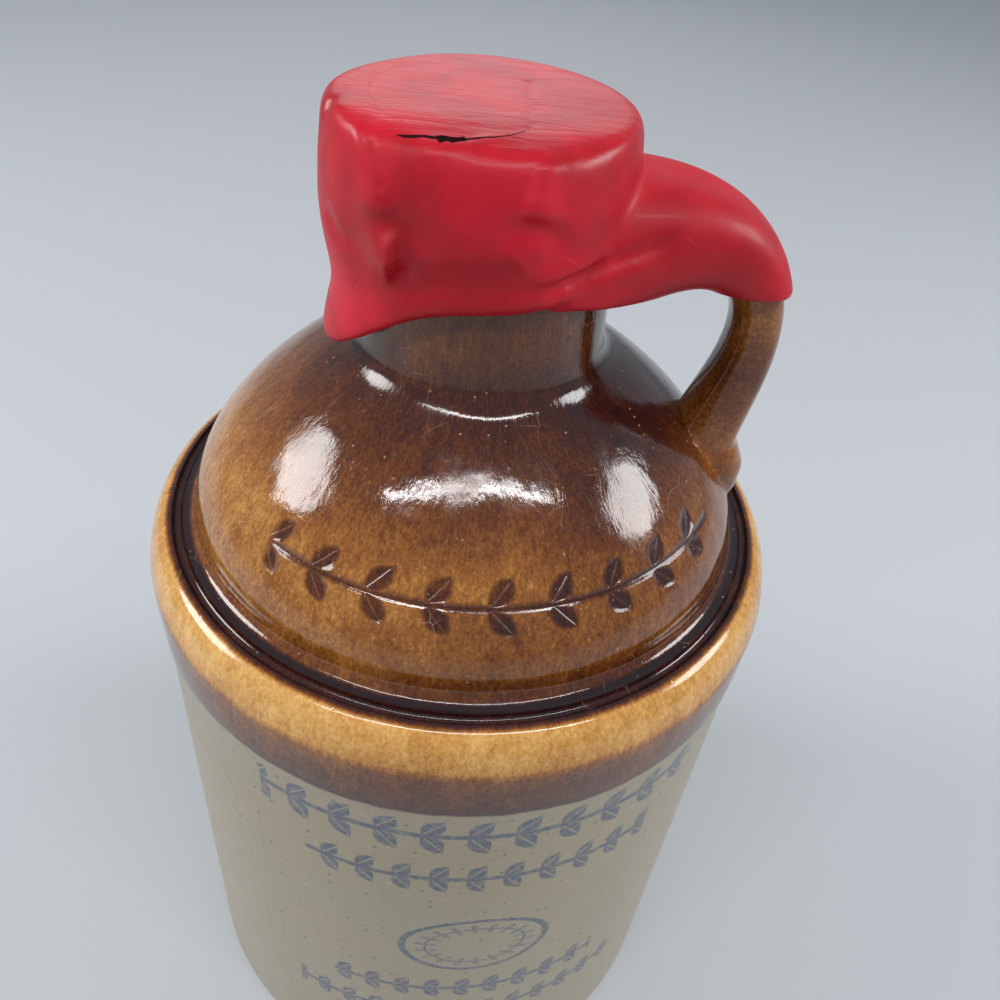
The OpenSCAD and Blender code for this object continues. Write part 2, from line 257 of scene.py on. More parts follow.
# Hairline scratches and dust, in short broken lines
scratches, taken, given = effect("Hairline scratches", {"Scale": 90.0, "Width": 0.012, "Amount": 0.4},
                                 {"Mask": "Float"})
spot = put(scratches, "TexCoord").outputs["Object"]
wander = put(scratches, "TexNoise", {"Vector": spot, "Scale": 60.0}).outputs["Color"]
wander = put(scratches, "VectorMath", {0: wander, "Scale": 0.012}, operation="SCALE").outputs[0]
bent = put(scratches, "VectorMath", {0: spot, 1: wander}, operation="ADD").outputs[0]
edge = put(scratches, "TexVoronoi", {"Vector": bent, "Scale": taken["Scale"]}, feature="DISTANCE_TO_EDGE")
line = rise(scratches, edge.outputs["Distance"], 0, taken["Width"], 1, 0)
broken = rise(scratches, grain(scratches, spot, 130, 2), less(scratches, 0.8, taken["Amount"]), 0.82)
feed(scratches, given, {"Mask": times(scratches, line, broken)})

# A row of leaves on a stem, as printed or pressed: lengths in millimetres along and across the row. Lean is
# the leaf's angle from the stem, Soft the width of its edge, and Vein how far its middle line is left bare
leaf_row, taken, given = effect("Row of leaves", {"Along": 0.0, "Across": 0.0, "Pitch": 9.0, "Leaf": 3.6,
                                                  "Fullness": 1.3, "Lean": 0.9, "Stem": 0.35, "Soft": 0.2,
                                                  "Vein": 1.0}, {"Mask": "Float"})
step = calc(leaf_row, "DIVIDE", taken["Along"], taken["Pitch"])
local = times(leaf_row, less(leaf_row, calc(leaf_row, "FRACT", step), 0.5), taken["Pitch"])
side = calc(leaf_row, "ABSOLUTE", taken["Across"])
cosine = calc(leaf_row, "COSINE", taken["Lean"])
sine = calc(leaf_row, "SINE", taken["Lean"])
blade = plus(leaf_row, times(leaf_row, local, cosine), times(leaf_row, side, sine))
over = less(leaf_row, times(leaf_row, side, cosine), times(leaf_row, local, sine))
half = less(leaf_row, calc(leaf_row, "DIVIDE", blade, taken["Leaf"]), 0.52)
lens = less(leaf_row, 1, calc(leaf_row, "POWER", times(leaf_row, half, 2), 2))
off_vein = calc(leaf_row, "ABSOLUTE", over)
leaf = less(leaf_row, times(leaf_row, lens, taken["Fullness"]), off_vein)
vein = less(leaf_row, 1, times(leaf_row, taken["Vein"], rise(leaf_row, off_vein, 0.05, 0.22, 1, 0)))
stem = less(leaf_row, taken["Stem"], side)
faint = times(leaf_row, taken["Soft"], -1)
mask = times(leaf_row, rise(leaf_row, leaf, faint, taken["Soft"]), vein)
feed(leaf_row, given, {"Mask": calc(leaf_row, "MAXIMUM", mask, rise(leaf_row, stem, faint, taken["Soft"]))})

# The printed front: four rows of leaves and an oval wreath, in the place of printed words
WALL_R = 53.4
PRINT_TURN = -1.414
# Each row's height, half its length, its leaves' length and their pitch
PRINT_ROWS = [(101.6, 38, 6.0, 7.2), (88.6, 30, 5.2, 6.0), (46, 26, 4.8, 5.6), (35, 34, 4.6, 5.4)]
OVAL_HEIGHT = 64
OVAL_HALF = (13, 9.5)
OVAL_ROW_IN = 3
printed, taken, given = effect("Printed front", {}, {"Ink": "Float"})
lay = use(printed, place)
along = times(printed, less(printed, lay["Turn"], PRINT_TURN), WALL_R)


def printed_row(height, half_width, size, pitch):
    """A row of leaves at a height on the wall, ending half_width millimetres either side of the middle."""
    across = less(printed, lay["Height"], height)
    row = use(printed, leaf_row, Along=along, Across=across, Pitch=pitch, Leaf=size, Fullness=size * 0.3,
              Stem=0.6)
    ends = rise(printed, calc(printed, "ABSOLUTE", along), half_width - 0.4, half_width, 1, 0)
    near = rise(printed, calc(printed, "ABSOLUTE", across), size * 0.95, size, 1, 0)
    return times(printed, row["Mask"], times(printed, ends, near))


up = calc(printed, "DIVIDE", less(printed, lay["Height"], OVAL_HEIGHT), OVAL_HALF[1])
sideways = calc(printed, "DIVIDE", along, OVAL_HALF[0])
oval = calc(printed, "SQRT", plus(printed, times(printed, up, up), times(printed, sideways, sideways)))
swing = times(printed, calc(printed, "ARCTAN2", up, sideways), 11.5)
from_line = times(printed, less(printed, oval, 1), OVAL_HALF[1])
frame_line = rise(printed, calc(printed, "ABSOLUTE", from_line), 0.35, 0.6, 1, 0)
from_row = plus(printed, from_line, OVAL_ROW_IN)
inner_row = use(printed, leaf_row, Along=swing, Across=from_row, Pitch=4.0, Leaf=2.0, Fullness=0.6,
                Stem=0.18)
inside = rise(printed, calc(printed, "ABSOLUTE", from_row), 1.9, 2.0, 1, 0)
ink = calc(printed, "MAXIMUM", frame_line, times(printed, inner_row["Mask"], inside))
for row in PRINT_ROWS:
    ink = calc(printed, "MAXIMUM", ink, printed_row(*row))
worn = grain(printed, put(printed, "TexCoord").outputs["Object"], 900, 3, 0.7)
feed(printed, given, {"Ink": times(printed, ink, rise(printed, worn, 0.3, 0.62, 0.5, 1))})

# The wall: speckled buff clay under clear glaze, a wavering brown edge, and a rim with painted light on its
# golden top and painted shade on its dark lower band
GROOVE_R = 48.7
stoneware, tree, shader = finish_of("Clear and brown glazed stoneware")
lay = use(tree, place)
spot = put(tree, "TexCoord").outputs["Object"]
waver = times(tree, less(tree, grain(tree, lay["Streaked"], 7, 3), 0.5), 1.6)
height = plus(tree, lay["Height"], waver)
buff = tint(tree, grain(tree, spot, 700, 4, 0.7), srgb(142, 129, 102), srgb(174, 160, 130))
buff = tint(tree, rise(tree, grain(tree, spot, 26, 3), 0.35, 0.7), buff, srgb(158, 146, 118))
dark_specks = use(tree, specks, Scale=650.0, Amount=0.35)["Mask"]
buff = tint(tree, times(tree, dark_specks, 0.75), buff, srgb(70, 62, 50))
pale_specks = use(tree, specks, Scale=420.0, Amount=0.2)["Mask"]
buff = tint(tree, times(tree, pale_specks, 0.35), buff, srgb(206, 196, 170))
buff = tint(tree, times(tree, use(tree, printed)["Ink"], 0.92), buff, srgb(54, 72, 100))
# Glaze depth up the rim, from the glaze line to the seam. It is partly the glaze running thicker towards
# its lower edge, and partly painted shade on the upright face and painted light on the upward-facing top
rim_depth_and_shade = stops(tree, calc(tree, "DIVIDE", less(tree, height, GLAZE_LINE), SEAM - GLAZE_LINE),
             (0, 0.82), (0.12, 0.7), (0.4, 0.62), (0.56, 0.5), (0.66, 0.22), (0.8, 0.14), (1, 0.16))


def pooled_in_groove(tree, lay, near, far):
    """How far the glaze has pooled towards the groove: 1 within near millimetres of it, 0 beyond far."""
    out = less(tree, lay["Reach"], GROOVE_R)
    drop = less(tree, lay["Height"], SEAM)
    gap = calc(tree, "SQRT", plus(tree, times(tree, out, out), times(tree, drop, drop)))
    return rise(tree, gap, near, far, 1, 0)


rim_depth_and_shade = plus(tree, rim_depth_and_shade, times(tree, pooled_in_groove(tree, lay, 0.9, 2.3), 0.75))
rim = use(tree, brown, Thickness=rim_depth_and_shade, Streaks=0.35)
glazed = rise(tree, height, GLAZE_LINE - 0.35, GLAZE_LINE + 0.35)
bare = rise(tree, lay["Height"], FOOT_BARE, FOOT_BARE + 0.8, 1, 0)
skin = tint(tree, glazed, buff, rim["Color"])
bare_clay = tint(tree, grain(tree, spot, 500, 4, 0.7), srgb(176, 160, 128), srgb(200, 186, 156))
skin = tint(tree, bare, skin, bare_clay)
lines = use(tree, scratches, Scale=150.0, Width=0.014, Amount=0.25)["Mask"]
skin = tint(tree, times(tree, lines, 0.35), skin, srgb(214, 200, 176))
gloss = put(tree, "Mix", {0: glazed, 2: 0.28, 3: rim["Roughness"]}).outputs[0]
gloss = put(tree, "Mix", {0: bare, 2: gloss, 3: 0.75}).outputs[0]
pits = times(tree, dark_specks, -0.3)
rough_foot = times(tree, bare, grain(tree, spot, 1400, 3))
relief = plus(tree, rim["Relief"], plus(tree, pits, rough_foot))
bump = put(tree, "Bump", {"Height": relief, "Strength": 0.35, "Distance": 0.0003})
feed(tree, shader, {"Base Color": skin, "Roughness": gloss, "Normal": bump.outputs[0], "Coat Weight": 0.1,
                    "Coat Roughness": 0.05})
dressed("crock", "jug_crock", "jug", stoneware)

# Dome and neck
# The upper half, made in its own mould and luted on while the clay was soft. It is dipped in brown glaze,
# which runs thin over the crown and pools black in the groove and in the pressed row of leaves.
NECK_GLAZED_TO = 172
PRESSED_TURN = -1.36
PRESSED_HEIGHT = 138
PRESSED_REACH = 40
DOME_SLOPE = 1.35
dome_glaze, tree, shader = finish_of("Brown glazed dome")
lay = use(tree, place)
spot = put(tree, "TexCoord").outputs["Object"]


def dome_thickness(tree, lay):
    """Glaze thickness by height: thin over the crown, thick up the neck, and pooled in the groove."""
    climb = calc(tree, "DIVIDE", less(tree, lay["Height"], SEAM), NECK_GLAZED_TO - SEAM)
    runny = stops(tree, climb, (0, 0.7), (0.08, 0.5), (0.2, 0.46), (0.32, 0.42), (0.42, 0.58), (0.55, 0.73),
                  (0.66, 0.82), (0.8, 0.66))
    return plus(tree, runny, times(tree, pooled_in_groove(tree, lay, 1.2, 2.6), 0.6))


on_side = times(tree, calc(tree, "COSINE", lay["Turn"]), 0.1)
along = times(tree, less(tree, lay["Turn"], PRESSED_TURN), PRESSED_REACH)
across = times(tree, less(tree, lay["Height"], PRESSED_HEIGHT), DOME_SLOPE)
pressed = use(tree, leaf_row, Along=along, Across=across, Pitch=8.4, Leaf=5.2, Fullness=1.5, Stem=0.5,
              Soft=0.6, Vein=0.35)["Mask"]
ends = rise(tree, calc(tree, "ABSOLUTE", along), 36, 38, 1, 0)
near = rise(tree, calc(tree, "ABSOLUTE", across), 4.4, 4.8, 1, 0)
pressed = times(tree, pressed, times(tree, ends, near))
thick = plus(tree, plus(tree, dome_thickness(tree, lay), on_side), times(tree, pressed, 0.34))
dome_skin = use(tree, brown, Thickness=thick, Streaks=0.3)
lines = use(tree, scratches, Scale=170.0, Width=0.014, Amount=0.24)["Mask"]
dust = use(tree, specks, Scale=1300.0, Amount=0.07)["Mask"]
lines = calc(tree, "MAXIMUM", lines, dust)
skin = tint(tree, times(tree, lines, 0.6), dome_skin["Color"], srgb(206, 176, 140))
relief = less(tree, dome_skin["Relief"], times(tree, pressed, 0.9))
bump = put(tree, "Bump", {"Height": relief, "Strength": 0.5, "Distance": 0.0007})
feed(tree, shader, {"Base Color": skin, "Roughness": dome_skin["Roughness"], "Normal": bump.outputs[0],
                    "Coat Weight": 0.2, "Coat Roughness": 0.03})
dressed("dome_top", "jug_dome", "jug", dome_glaze)

# Handle
# A pulled strap of clay, pressed on to the neck and thumbed down over the dome. Both roots are smoothed
# with a wet finger. Its brown glaze is thick at the roots and thins to amber on the outer side.
NECK_R = 18.7
NECK_TOP_R = 17.7
COLLAR_R = 18.8
COLLAR_FOOT = 176.4
COLLAR_STEP = 1.1
LIP = 187.0
LIP_ROUND = 1.8
NECK_FOOT = 155.6
NECK_FILLET = 3.0
DOME_SEAT_R = 47.8
DOME_R = 45.2
DOME_BASE = 128.0
# The dome's outline between the neck and its foot, as shares of that width and height
DOME_CURVE = [(1, 0), (1, 0.28), (0.5, 0.78), (0, 1)]
HANDLE_TOP = 177.0
HANDLE_OUT = 41.6
# The strap's middle from the neck to its foot, as shares of its reach and of its drop
HANDLE_CURVE = [(-0.45, 0.16), (0.5, -0.07), (0.95, -0.01), (1.28, 0.22), (0.98, 0.62), (0.66, 0.62),
                (0.9, 1)]
HANDLE_THICK = 8.4
HANDLE_WIDE = 10.4
HANDLE_CORNERS = 0.8
# Shares of the strap's thickness and width, from the neck to its foot
HANDLE_SECTION = [(1.9, 1.6), (1, 1.1), (0.75, 0.95), (0.6, 0.9), (1.55, 1), (1.3, 1.45)]
# The thumbed pad from its foot up: shares of its height, its size and how far it leans out
PAD = [(0, 0.35, 0.42), (0.3, 0.78, 0.34), (0.6, 1, 0.22), (0.82, 0.95, 0.08), (0.94, 0.72, 0.02),
       (1, 0.4, 0)]
PAD_THICK = 10.4
PAD_WIDE = 13.0
PAD_HEIGHT = 16.0
PAD_INSET = 3.4
ROOT_FILL = 4.0
BED_GROWS = 3.5
BED_SINK = 0.25
SKIN_GRID = 0.4


def between(a, b, t):
    """The value a share t of the way from a to b."""
    return a + (b - a) * t


def curve_at(points, t):
    """The point of a Bezier curve through control points of any number."""
    points = [Vector(p) for p in points]
    while len(points) > 1:
        points = [a.lerp(b, t) for a, b in zip(points, points[1:])]
    return points[0]


def along_table(rows, t):
    """A row of a table, read smoothly between its rows by their first value."""
    rows = [Vector(r) for r in rows]
    for low, high in zip(rows, rows[1:]):
        if t <= high[0]:
            return low.lerp(high, (t - low[0]) / (high[0] - low[0]))
    return rows[-1]


def tube(name, sides, rings, shape):
    """A ball of rings, pressed to shape as a closed tube whose end rings fan in to a middle point.
    shape gives the place in millimetres for an angle in degrees and a share of the length."""
    bpy.ops.object.select_all(action="DESELECT")
    bpy.ops.mesh.primitive_uv_sphere_add(segments=sides, ring_count=rings + 2, radius=1)
    piece = bpy.context.object
    piece.name = name
    for vertex in piece.data.vertices:
        x, y, z = vertex.co
        ring = math.acos(max(-1, min(1, z))) / math.pi * (rings + 2)
        share = max(0, min(1, (rings + 1 - round(ring)) / rings))
        if math.hypot(x, y) < 1e-4:
            around = [Vector(shape(360 * i / sides, share)) for i in range(sides)]
            vertex.co = sum(around, Vector()) / sides * MM
        else:
            vertex.co = Vector(shape(math.degrees(math.atan2(y, x)) % 360, share)) * MM
    bpy.ops.object.mode_set(mode="EDIT")
    bpy.ops.mesh.select_all(action="SELECT")
    bpy.ops.mesh.normals_make_consistent(inside=False)
    bpy.ops.object.mode_set(mode="OBJECT")
    return piece


def turned(name, outline, sides=160):
    """A solid turned on the jug's axis from the points of its outline, radius and height in millimetres."""
    count = len(outline) - 1

    def shape(angle, share):
        radius, height = outline[round(share * count)]
        turn = math.radians(angle)
        return radius * math.cos(turn), radius * math.sin(turn), height

    return tube(name, sides, count, shape)


def modified(piece, kind, **settings):
    """Adds a modifier with its settings and applies it."""
    only(piece)
    made = piece.modifiers.new(kind.title(), kind)
    for name, value in settings.items():
        setattr(made, name, value)
    bpy.ops.object.modifier_apply(modifier=made.name)
    return piece


def cut(piece, *tools, how="DIFFERENCE"):
    """Cuts tools from a piece, or keeps what they share, and clears the tools away."""
    for tool in tools:
        modified(piece, "BOOLEAN", object=tool, operation=how, solver="MANIFOLD")
        bpy.data.objects.remove(tool)
    return piece


def joined(*pieces):
    """Joins pieces into the first."""
    only(pieces[0])
    for piece in pieces[1:]:
        piece.select_set(True)
    bpy.ops.object.join()
    return pieces[0]


def arc(centre, radius, start, end, steps=8):
    """Points of an arc between two angles in degrees."""
    turns = [math.radians(between(start, end, i / steps)) for i in range(steps + 1)]
    return [(centre[0] + radius * math.cos(a), centre[1] + radius * math.sin(a)) for a in turns]


def top_outline(grow=0.0):
    """Outside of the dome, neck, collar and lip, moved outwards by grow."""
    crown = []
    for i in range(17):
        p = curve_at(DOME_CURVE, i / 16 * 0.9)
        crown.append((NECK_R + (DOME_R - NECK_R) * p[0] + grow, DOME_BASE + (NECK_FOOT - DOME_BASE) * p[1]))
    foot = [(DOME_SEAT_R + grow, SEAM), (DOME_R + grow, SEAM), (DOME_R + grow, DOME_BASE)]
    root = [crown[-1], (NECK_R + grow, NECK_FOOT), (NECK_R + grow, NECK_FOOT + NECK_FILLET)]
    step = [(NECK_TOP_R + grow, COLLAR_FOOT - COLLAR_STEP), (NECK_TOP_R + grow, COLLAR_FOOT),
            (COLLAR_R + grow, COLLAR_FOOT), (COLLAR_R + grow, COLLAR_FOOT + COLLAR_STEP)]
    return ([tuple(curve_at(foot, i / 8)) for i in range(9)] + crown[1:]
            + [tuple(curve_at(root, i / 6)) for i in range(1, 7)]
            + [tuple(curve_at(step, i / 6)) for i in range(7)]
            + arc((COLLAR_R - LIP_ROUND, LIP - LIP_ROUND), LIP_ROUND + grow, 0, 90))


def handle_middle(t):
    """The middle of the strap a share t of the way from the neck to its foot: reach and height."""
    p = curve_at(HANDLE_CURVE, t)
    return Vector((between(NECK_R, HANDLE_OUT, p[0]), HANDLE_TOP - (HANDLE_TOP - DOME_BASE) * p[1]))


def oblong(angle, thick, wide):
    """A point of a rounded oblong of half sizes thick and wide."""
    turn = math.radians(angle)
    across, aside = math.cos(turn), math.sin(turn)
    return (thick * math.copysign(abs(across) ** HANDLE_CORNERS, across),
            wide * math.copysign(abs(aside) ** HANDLE_CORNERS, aside))


def strap(angle, t, grow=0.0, root=0.0):
    """The surface of the handle at an angle round its section, 180 being its top, a share t of the way
    down. root is the clay smoothed into the corner under its upper end."""
    middle = handle_middle(t)
    heading = (handle_middle(min(1, t + 0.036)) - handle_middle(max(0, t - 0.036))).normalized()
    size = curve_at(HANDLE_SECTION, t)
    q = oblong(angle, HANDLE_THICK * size[0] / 2 + grow, HANDLE_WIDE * size[1] / 2 + grow)
    q = (q[0] + root * max(0, 1 - t / 0.3) ** 2 * max(0, q[0]) / HANDLE_THICK, q[1])
    return middle[0] + q[0] * heading[1], q[1], middle[1] - q[0] * heading[0]


def thumbed(angle, t, grow=0.0):
    """The surface of the pad at the handle's foot."""
    height, size, lean = along_table(PAD, t)
    q = oblong(angle, PAD_THICK * size / 2 + grow, PAD_WIDE * size / 2 + grow)
    return HANDLE_OUT - PAD_INSET + PAD_THICK * lean + q[0], q[1], DOME_BASE + PAD_HEIGHT * height


# Thin beds just under the dome's and the neck's skin give the smoothed roots clay to blend into
bed = turned("handle_bed", [(0.1, SEAM)] + top_outline(-BED_SINK) + [(0.1, LIP - BED_SINK)])
bed_at_neck = twin(bed)
round_pad = tube("round_pad", 40, 20, lambda a, t: thumbed(a, t, BED_GROWS))
round_root = tube("round_root", 40, 20, lambda a, t: strap(a, t * 0.35, BED_GROWS, ROOT_FILL))
cut(bed, round_pad, how="INTERSECT")
cut(bed_at_neck, round_root, how="INTERSECT")
handle = joined(tube("handle_strap", 40, 64, lambda a, t: strap(a, t, 0, ROOT_FILL)),
                tube("handle_pad", 40, 20, thumbed), bed, bed_at_neck)
modified(handle, "REMESH", mode="VOXEL", voxel_size=SKIN_GRID * MM, use_smooth_shade=True)
modified(handle, "SMOOTH", factor=0.5, iterations=24)
# Room for the dome and neck, which the handle sits on
cut(handle, turned("handle_room", [(0.1, SEAM - 5)] + top_outline(-0.45) + [(0.1, LIP + 5)]))
handle.name = "handle_strap"

handle_glaze, tree, shader = finish_of("Brown glazed handle")
spot = put(tree, "TexCoord").outputs["Object"]
lay = use(tree, place)
thin_out = rise(tree, lay["Reach"], 24, 33, 0.05, -0.16)
thick = plus(tree, plus(tree, dome_thickness(tree, lay), thin_out),
             rise(tree, lay["Height"], 146, 138, 0, 0.2))
strap_skin = use(tree, brown, Thickness=thick, Streaks=0.25, Round_the_jug=0.0)
bump = put(tree, "Bump", {"Height": strap_skin["Relief"], "Strength": 0.35, "Distance": 0.0004})
feed(tree, shader, {"Base Color": strap_skin["Color"], "Roughness": strap_skin["Roughness"],
                    "Normal": bump.outputs[0], "Coat Weight": 0.1, "Coat Roughness": 0.04})
give(handle, handle_glaze)
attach(handle, "jug")
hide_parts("handle")

# Cork
# A straight tapered stopper cut from natural cork, pressed into the neck before the jug is dipped in wax.
cork_skin, tree, shader = finish_of("Natural cork")
spot = put(tree, "TexCoord").outputs["Object"]
clump = put(tree, "TexVoronoi", {"Vector": spot, "Scale": 700.0})
tone = tint(tree, grain(tree, spot, 450, 4, 0.7), srgb(168, 124, 80), srgb(206, 166, 118))
tone = tint(tree, rise(tree, clump.outputs["Distance"], 0.2, 0.6, 0, 0.5), tone, srgb(148, 104, 64))
pores = use(tree, specks, Scale=330.0, Amount=0.4)["Mask"]
tone = tint(tree, times(tree, pores, 0.85), tone, srgb(74, 46, 26))
relief = less(tree, clump.outputs["Distance"], pores)
bump = put(tree, "Bump", {"Height": relief, "Strength": 0.6, "Distance": 0.0003})
feed(tree, shader, {"Base Color": tone, "Roughness": 0.85, "Normal": bump.outputs[0]})
dressed("cork", "cork_stopper", "stopper", cork_skin)

# Paper strip
# A blank strip of laid paper, glued over the cork and down the collar under the wax. It tears where the
# wax is cut: one part lifts with the cork, and two ends stay on the collar.
paper, tree, shader = finish_of("Laid paper")
spot = put(tree, "TexCoord").outputs["Object"]
laid = put(tree, "TexWave", {"Vector": spot, "Scale": 450.0, "Distortion": 1.5}, bands_direction="X")
tone = tint(tree, grain(tree, spot, 1800, 3, 0.7), srgb(196, 184, 154), srgb(222, 212, 186))
stain = rise(tree, grain(tree, spot, 150, 3), 0.45, 0.75)
tone = tint(tree, times(tree, stain, 0.6), tone, srgb(178, 128, 104))
bump = put(tree, "Bump", {"Height": laid.outputs["Fac"], "Strength": 0.25, "Distance": 0.0001})
feed(tree, shader, {"Base Color": tone, "Roughness": 0.8, "Normal": bump.outputs[0]})
for name in ("strip_top", "strip_front", "strip_back"):
    give(nodes[name], paper)

# Wax
# The neck, cork and the top of the handle are dipped in red sealing wax and pressed round by hand while it
# is soft. It is one skin until it is cut round the cork, so both pieces are shaped as one and then parted.
WAX_TOP = 190.5
WAX_THICK = 2.7
WAX_DRIFT = 2.0
WAX_EDGE = WAX_TOP - LIP
WAX_LOW = 14.0
TONGUE_TURN = 195
TONGUE_DROP = 11.4
# How thick the side is from its lower edge up: shares of its height and of WAX_THICK
WAX_SIDES = [(0, 0.3), (0.05, 0.45), (0.13, 0.45), (0.21, 0.38), (0.3, 0.4), (0.39, 0.58), (0.48, 0.82),
             (0.57, 0.98), (0.66, 1.05), (0.75, 1.05), (0.88, 1), (1, 0.86)]
# Folds and hollows pressed by fingers: angle, share of the height, lift, and spread each way
WAX_FOLDS = [(238, 0.8, 0.45, 8, 0.08), (240, 0.48, 0.5, 7, 0.15), (250, 0.62, -0.25, 9, 0.22),
             (226, 0.6, -0.2, 8, 0.2), (288, 0.84, 0.25, 12, 0.07), (296, 0.28, 0.3, 12, 0.09),
             (312, 0.34, 0.4, 12, 0.09), (328, 0.4, 0.4, 12, 0.09), (140, 1, -0.45, 30, 0.5),
             (110, 0.4, 0.3, 14, 0.25), (150, 0.4, -0.15, 16, 0.2), (75, 0.5, 0.25, 14, 0.25)]
SIDE_SHARE = 0.82
FLAP_SHARE = 0.62
FLAP_FOOT = 168.6
FLAP_THICK = 1.2
WEB_ABOVE = 3.8
WEB_BESIDE = 5.2


def fold(angle, h):
    """How far the folds and hollows lift the wax there, as a share of its thickness."""
    total = 0
    for at, height, lift, spread, tall in WAX_FOLDS:
        turn = min(abs(angle - at), 360 - abs(angle - at))
        total += lift * math.exp(-((turn / spread) ** 2) - ((h - height) / tall) ** 2)
    return total


def wax_side(angle, share):
    """The wax round the neck, from its lower edge up its side and round on to its top."""
    a = math.radians(angle)
    tongue = max(0, math.cos(a - math.radians(TONGUE_TURN))) ** 4
    h = min(1, share / SIDE_SHARE)
    roll = math.radians(90) * max(0, share - SIDE_SHARE) / (1 - SIDE_SHARE)
    drift = WAX_DRIFT * between(0.3, 1, min(1, h / 0.7))
    low = NECK_FOOT + WAX_LOW + 1.2 * math.cos(a) - TONGUE_DROP * tongue
    bulge = along_table(WAX_SIDES, h)[1] + 1.3 * tongue * (1 - h) ** 3 + fold(angle, h)
    radius = COLLAR_R + WAX_THICK * bulge - WAX_EDGE * 0.5 * (1 - math.cos(roll))
    height = between(low, LIP, h) + WAX_EDGE * math.sin(roll)
    return radius * math.cos(a) - drift, radius * math.sin(a), height


def wax_over_handle(angle, share):
    """The wax over the top of the handle, thick in the corner beside the collar."""
    t = FLAP_SHARE * share
    upper = (1 - math.cos(math.radians(angle))) / 2
    beside = abs(math.sin(math.radians(angle))) ** 1.5
    web = WEB_ABOVE * upper * max(0, 1 - t / 0.45) ** 2 + WEB_BESIDE * beside * max(0, 1 - t / 0.42) ** 1.6
    bare_below = 1.6 * max(0, 1 - t / 0.3) * (1 - upper) ** 2
    return strap(angle, t, FLAP_THICK + web - bare_below)


def block(name, low, high):
    """A plain block between two corners, to cut with."""
    bpy.ops.object.select_all(action="DESELECT")
    bpy.ops.mesh.primitive_cube_add(size=1)
    piece = bpy.context.object
    piece.name = name
    for vertex in piece.data.vertices:
        vertex.co = Vector(between(a, b, c + 0.5) for a, b, c in zip(low, high, vertex.co)) * MM
    return piece


def round_block(name, radius, low, high):
    """A plain round between two heights, to cut with."""
    return turned(name, [(radius, low), (radius, high)], 192)


flap = tube("wax_flap", 40, 48, wax_over_handle)
cut(flap, block("wax_level", (-60, -30, 100), (90, 30, FLAP_FOOT)))
wax = joined(tube("wax", 200, 90, wax_side), flap)
modified(wax, "REMESH", mode="VOXEL", voxel_size=SKIN_GRID * MM, use_smooth_shade=True)
modified(wax, "SMOOTH", factor=0.5, iterations=10)

# The corner beside the handle, and the hollow under it on both sides, are rubbed softer than the rest
corner = wax.vertex_groups.new(name="corner beside the handle")
for vertex in wax.data.vertices:
    x, y, z = vertex.co / MM
    near_handle = math.exp(-(((x - 20.5) / 4.5) ** 2) - ((z - 178) / 6.5) ** 2)
    under_it = 0.6 * math.exp(-(((x - 11) / 5) ** 2) - ((abs(y) - 16.5) / 3) ** 2 - ((z - 169.5) / 2) ** 2)
    corner.add([vertex.index], min(1, near_handle + under_it), "REPLACE")
modified(wax, "SMOOTH", factor=0.5, iterations=90, vertex_group=corner.name)


def skin_of(piece, kind="co"):
    """The places or normals of a piece's points, as rows of numbers."""
    rows = np.empty(len(piece.data.vertices) * 3, np.float32)
    source = piece.data.vertices if kind == "co" else piece.data.vertex_normals
    source.foreach_get("co" if kind == "co" else "vector", rows)
    return rows.reshape(-1, 3).astype(float)


def move_skin(piece, points):
    """Puts a piece's points at new places, given as rows of metres."""
    piece.data.vertices.foreach_set("co", points.astype(np.float32).ravel())
    piece.data.update()


def press(piece, path, width, lift):
    """Lifts the skin by lift millimetres along a path laid on it, or presses it in where lift is negative.
    The mark fades towards both ends of the path."""
    points = skin_of(piece)
    path = np.array(path, float) * MM
    steps = np.linspace(0, 1, 7 * len(path))
    places = np.linspace(0, 1, len(path))
    share = np.zeros(len(points))
    for step in steps:
        spot = np.array([np.interp(step, places, column) for column in path.T])
        on_skin = points[np.linalg.norm(points - spot, axis=1).argmin()]
        gap = np.linalg.norm(points - on_skin, axis=1) / MM / width
        fade = min(1, 0.3 + 4 * step, 0.3 + 4 * (1 - step))
        share = np.maximum(share, fade * np.exp(-(gap ** 2)))
    move_skin(piece, points + skin_of(piece, "normal") * (lift * MM * share)[:, None])


def step_up(values, middle, spread):
    """Rises smoothly from 0 to 1 about a middle, over a spread."""
    return 1 / (1 + np.exp((middle - values) * 4 / spread))


# The strip shows as a sunken panel over the top and down the front, with thick wax pushed to both sides
PANEL = (-14.0, 4.2)
PANEL_FOOT = 178.5
places = skin_of(wax) / MM
out = places[:, :2] / np.maximum(np.linalg.norm(places[:, :2], axis=1), 1)[:, None]
sunk = (step_up(places[:, 0], PANEL[0], 2.6) * (1 - step_up(places[:, 0], PANEL[1], 2.6))
        * step_up(places[:, 2], PANEL_FOOT, 4.5) * step_up(-places[:, 1], 15.5, 4))
places[:, :2] -= out * sunk[:, None]
places[:, 2] -= sunk * step_up(places[:, 2], 188, 2) * 0.3

# The front top edge is worn round by hands, and lies a little lower than the rest of the top
front_top = (step_up(-places[:, 1], 12.5, 6) * step_up(places[:, 2], 183.5, 4)
             * step_up(places[:, 0], -18, 4))
places[:, 2] -= front_top * 0.3
move_skin(wax, places * MM)
front_edge = wax.vertex_groups.new(name="front top edge")
for number, weight in enumerate(front_top):
    front_edge.add([number], float(weight), "REPLACE")
modified(wax, "SMOOTH", factor=0.5, iterations=300, vertex_group=front_edge.name)

